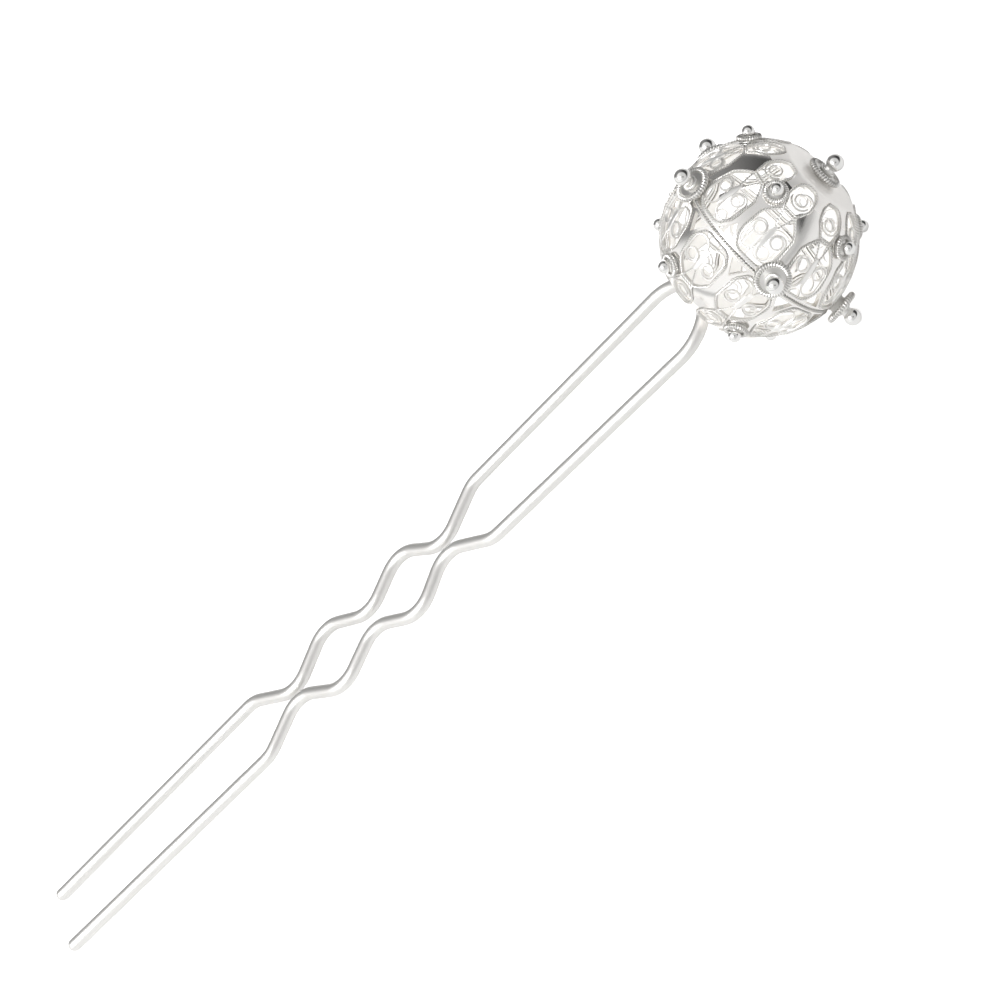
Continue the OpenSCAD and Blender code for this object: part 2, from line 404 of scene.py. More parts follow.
def carried(path: Path, normals: Array, profile: Array) -> Surface:
    """Carries a closed profile along a path.

    A ring's points are the path's point, plus profile x times the sideways direction, plus
    profile y times the normal. Open ends are closed with a fan about the path's own end point.

    Args:
        path: Where it runs, n points.
        normals: The direction that profile y follows, n vectors or one.
        profile: k points, or n by k points where it changes along the way.

    Returns:
        The tube as a closed surface.
    """
    side, normal = path.axes(normals)
    rows, sides = len(path.points), profile.shape[-2]
    shape = np.broadcast_to(profile, (rows, sides, 2))
    off = shape[..., :1] * side[:, None] + shape[..., 1:] * normal[:, None]
    points = (path.points[:, None] + off).reshape(-1, 3)
    lengths = path.lengths[:rows]
    grain = np.column_stack([np.repeat(lengths, sides), shape.reshape(-1, 2)])
    faces = [grid_faces(rows, sides, path.closed)]
    if not path.closed:
        count = len(points)
        faces += [fan(count, 0, sides), fan(count + 1, count - sides, sides)[:, [0, 2, 1]]]
        points = np.vstack([points, path.points[[0, -1]]])
        grain = np.vstack([grain, [[0, 0, 0], [lengths[-1], 0, 0]]])
    return Surface(points, faces, grain=grain)


def hollows(wire: Surface, middle: Array, reach: float, slope: float) -> Array:
    """Groove mask: slope times (1 - distance from the middle / reach), within 0 and 1."""
    depth = np.linalg.norm(wire.points - middle, axis=1) / reach
    return np.clip(slope - slope * depth, 0, 1)


def rope(path: Path, normals: Array, strand_r: float, pitch: float, sides: int = 6) -> Surface:
    """Two round strands twisted about a path.

    A strand's centre is the path plus strand_r times (cos t sideways + sin t normal), where t
    grows by a full turn each pitch and the second strand is half a turn on.

    Args:
        path: Where it runs, with points at least eight to a pitch apart.
        normals: Direction away from the sheet at each point, or one for all.
        strand_r: Radius of a strand, which is a quarter of the rope's width.
        pitch: Length of one full turn.
        sides: Corners of a strand's section.

    Returns:
        Both strands as one surface.
    """
    side, normal = path.axes(normals)
    lengths = path.lengths
    turns = lengths[-1] / pitch
    middle = np.repeat(path.points, sides, axis=0)
    if path.closed:
        turns = max(round(turns), 1)
    else:
        middle = np.vstack([middle, path.points[[0, -1]]])
    phase = 2 * math.pi * turns * lengths[: len(path.points)] / lengths[-1]
    strands = []
    for start in (0.0, math.pi):
        c, s = np.cos(phase + start)[:, None], np.sin(phase + start)[:, None]
        centre = replace(path, points=path.points + strand_r * (c * side + s * normal))
        strand = carried(centre, normals, oval(strand_r, strand_r, sides))
        strand.groove = hollows(strand, middle, 2 * strand_r, slope=1.7)
        strands.append(strand)
    return joined(strands)


def lathe(profile: Array, sides: int) -> Surface:
    """Turns a profile about +Z: (r, z) goes to (r cos a, r sin a, z).

    Args:
        profile: Points (r, z) that run up the outside. The first and last lie on the axis.
        sides: Number of steps around.

    Returns:
        A closed surface with one vertex at each pole.
    """
    ring = profile[1:-1]
    count = len(ring) * sides
    flat = ring[:, None, :1] * arc(0, 360, sides, whole=True)
    heights = np.broadcast_to(ring[:, None, 1:], (len(ring), sides, 1))
    points = np.concatenate([flat, heights], axis=-1).reshape(-1, 3)
    body = grid_faces(len(ring), sides, False)[:, ::-1]
    bottom, top = fan(count, 0, sides)[:, [0, 2, 1]], fan(count + 1, count - sides, sides)
    return Surface(np.vstack([points, profile[[0, -1], 1:] * UP]), [body, bottom, top])


def round_bead(radius: float, height: float, rows: int, sides: int, neck: float = 0.0) -> Surface:
    """A bead about +Z: r = R cos a, z = R sin a, no thinner than its neck below -0.7 R.

    Args:
        radius: The R of the formula.
        height: Height of its middle.
        rows: Points from pole to pole.
        sides: Steps around.
        neck: Radius at which it is soldered on.

    Returns:
        The bead, with a groove that starts under its middle.
    """
    r, z = radius * arc(-90, 90, rows).T
    r = np.where(z < -0.7 * radius, np.maximum(r, neck), r)
    r[[0, -1]] = 0.0
    made = lathe(np.column_stack([r, z + height]), sides)
    made.groove = np.clip(-1.77 - 2.2 * (made.points[:, 2] - height) / radius, 0, 1)
    return made


def walled(outer: Array, inner: Array, present: Mask, satin_from: int) -> Surface:
    """Two skins with walls at every open edge, on a grid that closes on itself sideways.

    Args:
        outer: rows by columns points; rows run towards +X and columns from +Z towards -Y.
        inner: The same grid on the other side of the sheet.
        present: Which cells of the grid are metal, rows - 1 by columns.
        satin_from: Row of cells from which the outer skin is satin.

    Returns:
        Outer skin and walls, inner skin and satin rows, each in its slot, with grooved edges.
    """
    rows, columns = outer.shape[:2]
    top = np.arange(rows * columns).reshape(rows, columns)
    low = top + rows * columns
    right, low_right = np.roll(top, -1, axis=1), np.roll(low, -1, axis=1)
    front = np.stack([top[:-1], right[:-1], right[1:], top[1:]], -1)
    back = np.stack([low[:-1], low[1:], low_right[1:], low_right[:-1]], -1)
    edge = np.stack([top[:-1], low[:-1], low[1:], top[1:]], -1)
    rim = np.stack([top, right, low_right, low], -1)
    before, none = np.roll(present, 1, axis=1), np.zeros((1, columns), bool)
    under, over = np.vstack([none, present]), np.vstack([present, none])
    ends, starts = edge[before & ~present], edge[present & ~before][:, ::-1]
    tops, bottoms = rim[under & ~over], rim[over & ~under][:, ::-1]
    walls = np.concatenate([ends, starts, tops, bottoms])
    points = np.concatenate([outer.reshape(-1, 3), inner.reshape(-1, 3)])
    groove = np.zeros(len(points))
    groove[np.unique(walls)] = EDGE_GROOVE
    skin = front[:satin_from][present[:satin_from]]
    satin = front[satin_from:][present[satin_from:]]
    groups = [np.concatenate([skin, walls]), back[present], satin]
    used, faces = np.unique(np.concatenate(groups), return_inverse=True)
    faces = np.split(faces.reshape(-1, 4), np.cumsum([len(group) for group in groups])[:-1])
    return Surface(points[used], faces, [OUTSIDE, INSIDE, SATIN], groove[used])


@dataclass(frozen=True)
class CoilRing:
    """Fine wire coiled around a ring about +Z, by outer radii of ring, coil and wire."""

    outer_r: float
    coil_r: float
    fine_r: float
    turns: int

    @property
    def ring_r(self) -> float:
        """Radius of the ring that the coil follows."""
        return self.outer_r - self.coil_r

    def build(self, phase: float) -> Surface:
        """The coil with a plain core that fills it.

        The wire's centre is ((R + c cos N a) cos a, (R + c cos N a) sin a, c sin N a), for ring
        radius R, coil radius c and N turns.

        Args:
            phase: Turn of the windings, in degrees.

        Returns:
            Coil and core.
        """
        a = np.linspace(0, 2 * math.pi, self.turns * 9, endpoint=False)
        wind = self.turns * a + math.radians(phase)
        reach = self.coil_r - self.fine_r
        out = np.column_stack([np.cos(a) * np.cos(wind), np.sin(a) * np.cos(wind), np.sin(wind)])
        middle = self.ring_r * np.column_stack([np.cos(a), np.sin(a), np.zeros_like(a)])
        coil = carried(Path(middle + reach * out, True), out, oval(self.fine_r, self.fine_r, 6))
        coil.groove = hollows(coil, np.repeat(middle, 6, axis=0), self.coil_r, slope=2.6)
        core = carried(Path(middle[::4], True), UP, oval(reach, reach, 10))
        core.groove[:] = 1.0
        return joined([coil, core])


# ---------------------------------------------------------------- finishes


def fill(node: bpy.types.Node, values: dict[str | int, object]) -> None:
    """Links sockets to a node's inputs and sets the others.

    Args:
        node: The node.
        values: Sockets or plain values, by the input's name or number.
    """
    for place, value in values.items():
        if isinstance(value, Socket):
            node.id_data.links.new(value, node.inputs[place])
        else:
            node.inputs[place].default_value = value


def add_node(
    tree: Tree, kind: str, values: dict[str | int, object] | None = None, **settings: object
) -> bpy.types.bpy_prop_collection:
    """Adds a shader node.

    Args:
        tree: The nodes that it joins.
        kind: Its type, without the leading ShaderNode.
        values: What fill takes.
        settings: Its own settings, such as operation.

    Returns:
        Its outputs.
    """
    node = tree.nodes.new("ShaderNode" + kind)
    for name, value in settings.items():
        setattr(node, name, value)
    fill(node, values or {})
    return node.outputs


def maths(tree: Tree, operation: str, *values: object) -> Socket:
    """Adds a Math node on numbers or sockets."""
    return add_node(tree, "Math", dict(enumerate(values)), operation=operation)[0]


def vector_maths(tree: Tree, operation: str, output: str, *values: object) -> Socket:
    """Adds a Vector Math node on vectors or sockets."""
    return add_node(tree, "VectorMath", dict(enumerate(values)), operation=operation)[output]


def smooth_step(tree: Tree, value: Socket, low: float, high: float) -> Socket:
    """Adds a smooth step of a value, from 0 at low to 1 at high."""
    values = {"Value": value, "From Min": low, "From Max": high}
    return add_node(tree, "MapRange", values, interpolation_type="SMOOTHSTEP")["Result"]


def mixed(tree: Tree, share: Socket, first: object, second: object, kind: str = "FLOAT") -> Socket:
    """Adds a mix of numbers, colours or sockets: the first at share 0, the second at share 1."""
    values = {"Factor": share, "A": first, "B": second}
    return add_node(tree, "Mix", values, data_type=kind)["Result"]


def noise(tree: Tree, place: Socket, scale: object, detail: float) -> Socket:
    """Adds a cloudy pattern on a place, with a scale that is a number or a socket."""
    values = {"Vector": place, "Scale": scale, "Detail": detail}
    return add_node(tree, "TexNoise", values)["Fac"]


def facing(tree: Tree, direction: Array, place: str = "Generated") -> Socket:
    """Adds the dot product of a kind of texture coordinates with a direction."""
    coordinates = add_node(tree, "TexCoord")[place]
    return vector_maths(tree, "DOT_PRODUCT", "Value", coordinates, tuple(direction))


def shade_group(name: str, inputs: dict[str, float], outputs: list[str]) -> Tree:
    """An empty node group with number inputs and outputs.

    Args:
        name: Name of the group.
        inputs: Input names and their default values.
        outputs: Output names.

    Returns:
        The group, with its input and output nodes in place.
    """
    group = bpy.data.node_groups.new(name, "ShaderNodeTree")
    for label, value in inputs.items():
        socket = group.interface.new_socket(label, in_out="INPUT", socket_type="NodeSocketFloat")
        socket.default_value = value
    for label in outputs:
        group.interface.new_socket(label, in_out="OUTPUT", socket_type="NodeSocketFloat")
    group.nodes.new("NodeGroupInput")
    group.nodes.new("NodeGroupOutput")
    return group


@cache
def wear_group() -> Tree:
    """Node group for handled silver: a tarnish mask and a roughness that change over the metal.

    The mask is the groove attribute times its share, plus slow clouds on Object coordinates
    times theirs. Roughness is the base plus a finer cloud times its spread, and a little more
    in grooves.

    Returns:
        The group, made once.
    """
    inputs = {"Groove Share": 0.6, "Cloud Share": 0.15, "Cloud Scale": 300.0}
    inputs |= {"Roughness": 0.15, "Roughness Spread": 0.08}
    group = shade_group("handled_silver", inputs, ["Tarnish", "Roughness"])
    entry = group.nodes["Group Input"].outputs
    place = add_node(group, "TexCoord")["Object"]
    groove = add_node(group, "Attribute", attribute_name=GROOVE)["Fac"]
    hollow = maths(group, "MULTIPLY", groove, entry["Groove Share"])
    clouds = noise(group, place, entry["Cloud Scale"], 3.0)
    tarnish = maths(group, "MULTIPLY_ADD", clouds, entry["Cloud Share"], hollow)
    fine = maths(group, "SUBTRACT", noise(group, place, 2200.0, 2.0), 0.5)
    rough = maths(group, "MULTIPLY_ADD", fine, entry["Roughness Spread"], entry["Roughness"])
    rough = maths(group, "MULTIPLY_ADD", hollow, 0.25, rough)
    tarnish = maths(group, "MINIMUM", tarnish, 1.0)
    fill(group.nodes["Group Output"], {"Tarnish": tarnish, "Roughness": rough})
    return group


@cache
def grain_group() -> Tree:
    """Node group for working marks: noise on the grain attribute, stretched along its first axis.

    Returns:
        The group, made once.
    """
    group = shade_group("working_marks", {"Along": 0.3, "Across": 14.0}, ["Height"])
    along, across = list(group.nodes["Group Input"].outputs)[:2]
    scale = add_node(group, "CombineXYZ", {"X": along, "Y": across, "Z": across})["Vector"]
    grain = add_node(group, "Attribute", attribute_name=GRAIN)["Vector"]
    place = vector_maths(group, "MULTIPLY", "Vector", grain, scale)
    fill(group.nodes["Group Output"], {"Height": noise(group, place, 1.0, 3.0)})
    return group


@dataclass(frozen=True)
class SilverFinish:
    """One finish of the silver.

    Attributes:
        name: Name of the material.
        bright: Colour of the clean metal.
        dull: Colour in grooves and clouds.
        roughness: Base roughness.
        roughness_spread: How far the fine clouds change it.
        groove_share: How much the grooves take the dull colour.
        cloud_share: How much the slow clouds do.
        mark_height: Height of the working marks, in metres.
        along: Marks per mm along the grain.
        across: Marks per mm across it.
        metallic: Share of metal; less of it makes a white frosted skin.
        glow: Painted light: emission in the bright colour, which stands in for the light that the
            open ball scatters inside; the silver is no lamp.
    """

    name: str
    bright: Triple
    dull: Triple
    roughness: float
    roughness_spread: float
    groove_share: float
    cloud_share: float
    mark_height: float
    along: float
    across: float
    metallic: float = 1.0
    glow: float = 0.0

    @cache
    def material(self) -> bpy.types.Material:
        """The finish as a material, made once.

        Returns:
            The material.
        """
        made = bpy.data.materials.new(self.name)
        made.use_nodes = True
        tree = made.node_tree
        bright, dull = (*self.bright, 1.0), (*self.dull, 1.0)
        values = {"Groove Share": self.groove_share, "Cloud Share": self.cloud_share}
        values |= {"Roughness": self.roughness, "Roughness Spread": self.roughness_spread}
        wear = add_node(tree, "Group", values, node_tree=wear_group())
        values = {"Along": self.along, "Across": self.across}
        marks = add_node(tree, "Group", values, node_tree=grain_group())
        values = {"Strength": 1.0, "Distance": self.mark_height, "Height": marks["Height"]}
        look = {
            "Base Color": mixed(tree, wear["Tarnish"], bright, dull, "RGBA"),
            "Metallic": self.metallic,
            "Roughness": wear["Roughness"],
            "Normal": add_node(tree, "Bump", values)["Normal"],
            # Painted light: emission in the metal's bright colour, at the finish's glow strength.
            "Emission Color": bright,
            "Emission Strength": self.glow,
        }
        fill(tree.nodes["Principled BSDF"], look)
        return made


WIRE_FINISH = SilverFinish(
    "drawn_wire", (0.82, 0.81, 0.79), (0.6, 0.58, 0.55), 0.41, 0.06, 0.4, 0.1, 4e-6, 0.12, 9.0, 0.88
)
SHEET_FINISH = SilverFinish(
    "burnished_sheet", (0.96, 0.945, 0.92), (0.7, 0.68, 0.65), 0.14, 0.05, 0.5, 0.06, 2e-6, 1.2, 5.0
)
# Crown plate: a rougher satin skin, with painted light: a faint glow that lightens it.
SATIN_AND_PAINTED_GLOW = SilverFinish(
    "satin_sheet_painted_glow", (0.96, 0.94, 0.91), (0.66, 0.63, 0.59), 0.42, 0.08, 0.3, 0.15, 3e-6, 2.0, 6.0,
    metallic=0.5, glow=0.14,
)
# Inside of the ball: a white frosted skin of its own, with painted light: it glows evenly, as if
# lit by light scattered inside the open ball.
INNER_FROST_AND_PAINTED_GLOW = SilverFinish(
    "frosted_inside_painted_glow", (0.97, 0.96, 0.94), (0.9, 0.88, 0.85), 0.7, 0.1, 0.3, 0.2, 3e-6, 5.0, 5.0,
    metallic=0.1, glow=0.22,
)
FILIGREE_FINISH = SilverFinish(
    "twisted_wire", (0.96, 0.95, 0.93), (0.34, 0.33, 0.31), 0.38, 0.08, 0.7, 0.1, 2e-6, 0.8, 9.0,
    metallic=0.9,
)
SEAM_FINISH = SilverFinish(
    "seam_twist", (0.66, 0.65, 0.63), (0.12, 0.115, 0.11), 0.36, 0.08, 0.9, 0.1, 2e-6, 0.8, 9.0
)
BEAD_FINISH = SilverFinish(
    "granulation", (0.93, 0.925, 0.91), (0.4, 0.38, 0.35), 0.07, 0.03, 0.7, 0.06, 1e-6, 2.0, 3.0
)
COIL_FINISH = SilverFinish(
    "wound_wire", (0.9, 0.89, 0.87), (0.35, 0.34, 0.32), 0.3, 0.06, 0.6, 0.08, 1e-6, 2.0, 3.0
)


def make_piece(
    name: str, shape: Surface, finishes: list[SilverFinish], node: str
) -> None:
    """Makes a piece from a surface of the ball's frame and puts it in a CAD node's place.

    Args:
        name: The piece's name.
        shape: Its surface.
        finishes: One per material number of the surface.
        node: The CAD node that it stands for.
    """
    mesh = bpy.data.meshes.new(name)
    corners = np.concatenate([f.ravel() for f in shape.faces])
    totals = np.concatenate([np.full(len(f), f.shape[1]) for f in shape.faces])
    numbers = np.concatenate([np.full(len(f), s) for f, s in zip(shape.faces, shape.slots)])
    mesh.vertices.add(len(shape.points))
    mesh.vertices.foreach_set("co", SIZES.lay_down(shape.points).astype(np.float32).ravel())
    mesh.loops.add(len(corners))
    mesh.loops.foreach_set("vertex_index", corners.astype(np.int32))
    mesh.polygons.add(len(totals))
    mesh.polygons.foreach_set("loop_start", (np.cumsum(totals) - totals).astype(np.int32))
    mesh.polygons.foreach_set("material_index", numbers.astype(np.int32))
    mesh.update(calc_edges=True)
    mesh.shade_smooth()
    mesh.set_sharp_from_angle(angle=SHARP_ANGLE)
    groove = mesh.attributes.new(GROOVE, "FLOAT", "POINT")
    groove.data.foreach_set("value", shape.groove.astype(np.float32))
    grain = mesh.attributes.new(GRAIN, "FLOAT_VECTOR", "POINT")
    grain.data.foreach_set("vector", shape.grain.astype(np.float32).ravel())
    for finish in finishes:
        mesh.materials.append(finish.material())
    piece = bpy.data.objects.new(name, mesh)
    bpy.context.scene.collection.objects.link(piece)
    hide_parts(node)
    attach(piece, BODY)
    log.info("%s: %d triangles for %s", name, int((totals - 2).sum()), node)


# ---------------------------------------------------------------- chart of a figure


@dataclass(frozen=True)
class Chart:
    """Flat chart of the ball about the meridian of a figure.

    x is the longitude times the cosine of the latitude, and y the latitude, both as lengths on
    the ball, so distances near the meridian are true.
    """

    radius: float = SIZES.ball_r

    def flat(self, lon: Array | float, lat: Array | float) -> Array:
        """Chart points of longitudes and latitudes in degrees."""
        lon, lat = np.radians(lon), np.radians(lat)
        return np.stack([lon * np.cos(lat) * self.radius, lat * self.radius], axis=-1)

    def over(self, flat: Path, height: float) -> tuple[Path, Array]:
        """Lays a chart path over the ball.

        Args:
            flat: The path on the chart.
            height: Height over the ball.

        Returns:
            The path in space, and the directions away from the ball's centre.
        """
        lat = flat.points[:, 1] / self.radius
        lon = flat.points[:, 0] / (self.radius * np.cos(lat))
        around = [np.sin(lat), -np.cos(lat) * np.sin(lon), np.cos(lat) * np.cos(lon)]
        normals = np.column_stack(around)
        return replace(flat, points=normals * (self.radius + height)), normals

    def wire(self, flat: Path, height: float, profile: Array) -> Surface:
        """A profile carried along a chart path, at a height over the ball."""
        return carried(*self.over(flat, height), profile)

    def twisted(self, flat: Path, height: float, strand_r: float, pitch: float) -> Surface:
        """A rope along a chart path, at a height over the ball."""
        return rope(*self.over(flat.resampled(pitch / 9), height), strand_r, pitch)


CHART = Chart()


@dataclass(frozen=True)
class FigureOutline:
    """Outline of the pierced figure: a petal and a pointed lobe above it.

    Rows are latitude and half width in degrees.
    """

    petal: tuple[Pair, ...] = (
        (2.2, 7.0), (3.6, 10.4), (6.5, 12.2), (8.5, 13.6), (10.0, 14.5),
        (14.0, 15.4), (28.0, 15.4), (33.0, 12.2), (38.5, 6.8),
    )
    lobe: tuple[Pair, ...] = (
        (38.5, 6.8), (42.0, 9.0), (44.0, 10.2), (46.5, 12.8), (50.0, 13.8),
        (55.0, 14.2), (58.0, 13.0), (60.5, 10.4), (62.2, 6.4),
    )

    def half_width(self, lat: Array) -> Array:
        """Half width of the whole opening at latitudes, by straight interpolation."""
        rows = np.array(self.petal + self.lobe[1:])
        return np.interp(lat, rows[:, 0], rows[:, 1])

    def loop(self, rows: tuple[Pair, ...], inset: float) -> Path:
        """Closed chart path inside one cell, with rounded corners.

        Args:
            rows: The cell's side, self.petal or self.lobe.
            inset: Distance from the edge, in mm.

        Returns:
            The path, with points 0.05 mm apart.
        """
        right = CHART.flat(*np.array(rows).T[::-1])
        path = Path(np.vstack([right, right[::-1] * [-1.0, 1.0]]), closed=True)
        path = path.resampled(0.05).softened(12)
        inward = path.tangents[:, ::-1] * [-1.0, 1.0]
        return replace(path, points=path.points + inset * inward).softened(8)


# ---------------------------------------------------------------- sub-assemblies


@dataclass(frozen=True)
class FiligreeFigure:
    """Filigree of one figure: twisted outlines, a middle strip, two scrolls and a lobe ring."""

    outline: FigureOutline = FigureOutline()
    inset: float = 0.14
    frame_half_w: float = 0.075
    frame_half_h: float = 0.17
    frame_height: float = -0.14
    strand_r: float = 0.052
    pitch: float = 0.56
    rope_height: float = 0.06
    scroll_half_w: float = 0.08
    scroll_half_h: float = 0.15
    scroll_height: float = -0.02
    scroll_start_lat: float = 17.0
    milling_pitch: float = 0.25
    milling_depth: float = 0.12
    curl_place: Pair = (7.3, 20.5)
    curl_r: float = 0.58
    curl_turn: float = 630.0
    roof_r: float = 0.84
    roof_turn: float = 330.0
    loop_place: Pair = (6.9, 11.9)
    loop_r: float = 0.87
    strip_lat: Pair = (11.0, 27.5)
    strip_half_w: float = 0.29
    strip_half_h: float = 0.12
    line_foot: Pair = (0.9, 26.0)
    line_top: Pair = (5.6, 38.0)
    line_height: float = 0.02
    line_strand_r: float = 0.055
    line_pitch: float = 0.55
    lobe_ring_lat: float = 49.3
    lobe_ring_r: float = 0.58
    lobe_bow_r: float = 0.96

    def scroll_path(self) -> Path:
        """Chart path of the scroll at the right of the strip.

        It runs down beside the strip, round the wide loop, up the petal's side, over the curl
        as a roof and round the curl, whose radius shrinks by a smooth step and then stays.

        Returns:
            The path.
        """
        loop, curl = CHART.flat(*self.loop_place), CHART.flat(*self.curl_place)
        start = [loop[0] - self.loop_r, CHART.flat(0.0, self.scroll_start_lat)[1]]
        low = loop + self.loop_r * arc(180, 360, 40)
        share = np.clip(np.linspace(0, self.curl_turn / self.roof_turn, 120), 0, 1)
        radius = self.roof_r + (self.curl_r - self.roof_r) * share**2 * (3 - 2 * share)
        spin = curl + radius[:, None] * arc(0, self.curl_turn, 120)
        return Path(np.vstack([start, low, spin])).resampled(0.06).softened(6)

    def flat_wire(self, flat: Path) -> Surface:
        """Scroll wire: a boxy profile whose top edge rises and falls along the way.

        The height's factor is 1 + depth times the cosine of a full turn each milling pitch.

        Args:
            flat: Chart path.

        Returns:
            The wire, with a groove that grows downwards.
        """
        path = flat.resampled(self.milling_pitch / 4)
        turn = 2 * math.pi * path.lengths[: len(path.points)] / self.milling_pitch
        wave = 1 + self.milling_depth * np.cos(turn)
        profile = oval(self.scroll_half_w, self.scroll_half_h, 8, 0.7)
        shape = profile * np.column_stack([np.ones_like(wave), wave])[:, None]
        made = CHART.wire(path, self.scroll_height, shape)
        made.groove = np.clip(-made.grain[:, 2] / self.scroll_half_h, 0, 1) * 0.8
        return made

    def cell_frame(self, rows: tuple[Pair, ...]) -> list[Surface]:
        """Plain rim of a cell with the rope that lies on it.

        Args:
            rows: The cell's side in the outline.

        Returns:
            Rim and rope.
        """
        path = self.outline.loop(rows, self.inset)
        profile = oval(self.frame_half_w, self.frame_half_h, 8, 0.6)
        plain = CHART.wire(path.resampled(0.16), self.frame_height, profile)
        plain.groove[:] = 0.5
        return [plain, CHART.twisted(path, self.rope_height, self.strand_r, self.pitch)]

    def strip(self) -> Surface:
        """Middle strip: a flat crowned bar that narrows towards both ends.

        Returns:
            Its surface.
        """
        lat = np.linspace(*self.strip_lat, 24)
        share = np.linspace(0, 1, len(lat))
        width = self.strip_half_w * np.minimum(1, 0.35 + 2.6 * np.minimum(share, 1 - share))
        profile = oval(1.0, self.strip_half_h, 12, 0.55)
        shape = profile * np.column_stack([width, np.ones_like(width)])[:, None]
        return CHART.wire(Path(CHART.flat(np.zeros_like(lat), lat)), 0.0, shape)

    def build(self) -> Surface:
        """The whole figure about the +Z meridian of the upper half.

        Returns:
            Its surface.
        """
        parts = self.cell_frame(self.outline.petal) + self.cell_frame(self.outline.lobe)
        parts.append(self.strip())
        scroll = self.scroll_path()
        line = Path(CHART.flat(*np.array([self.line_foot, self.line_top]).T))
        twist = (self.line_height, self.line_strand_r, self.line_pitch)
        for side in ([1.0, 1.0], [-1.0, 1.0]):
            parts.append(self.flat_wire(scroll.times(side)))
            parts.append(CHART.twisted(line.times(side), *twist))
        middle = CHART.flat(0.0, self.lobe_ring_lat)
        ring = Path(middle + self.lobe_ring_r * arc(0, 360, 60, whole=True), closed=True)
        bow = Path(middle + self.lobe_bow_r * arc(192, 348, 40))
        return joined([*parts, self.flat_wire(ring), self.flat_wire(bow)])


@dataclass(frozen=True)
class Petals:
    """The filigree figures of one half of the ball."""

    half: Half
    figure: FiligreeFigure = FiligreeFigure()

    def make(self) -> None:
        """Builds one piece for each figure."""
        shape = self.figure.build().lined().moved(self.half.mirror)
        finishes, petal = [FILIGREE_FINISH, INNER_FROST_AND_PAINTED_GLOW], f"{self.half.side}_petal"
        for i in range(SIZES.figure_count):
            placed = shape.moved(turn_x((i + 0.5) * SIZES.figure_step + self.half.turn))
            name, node = f"{petal}_filigree_{i + 1}", f"{petal}_{i + 1}"
            make_piece(name, placed, finishes, node)


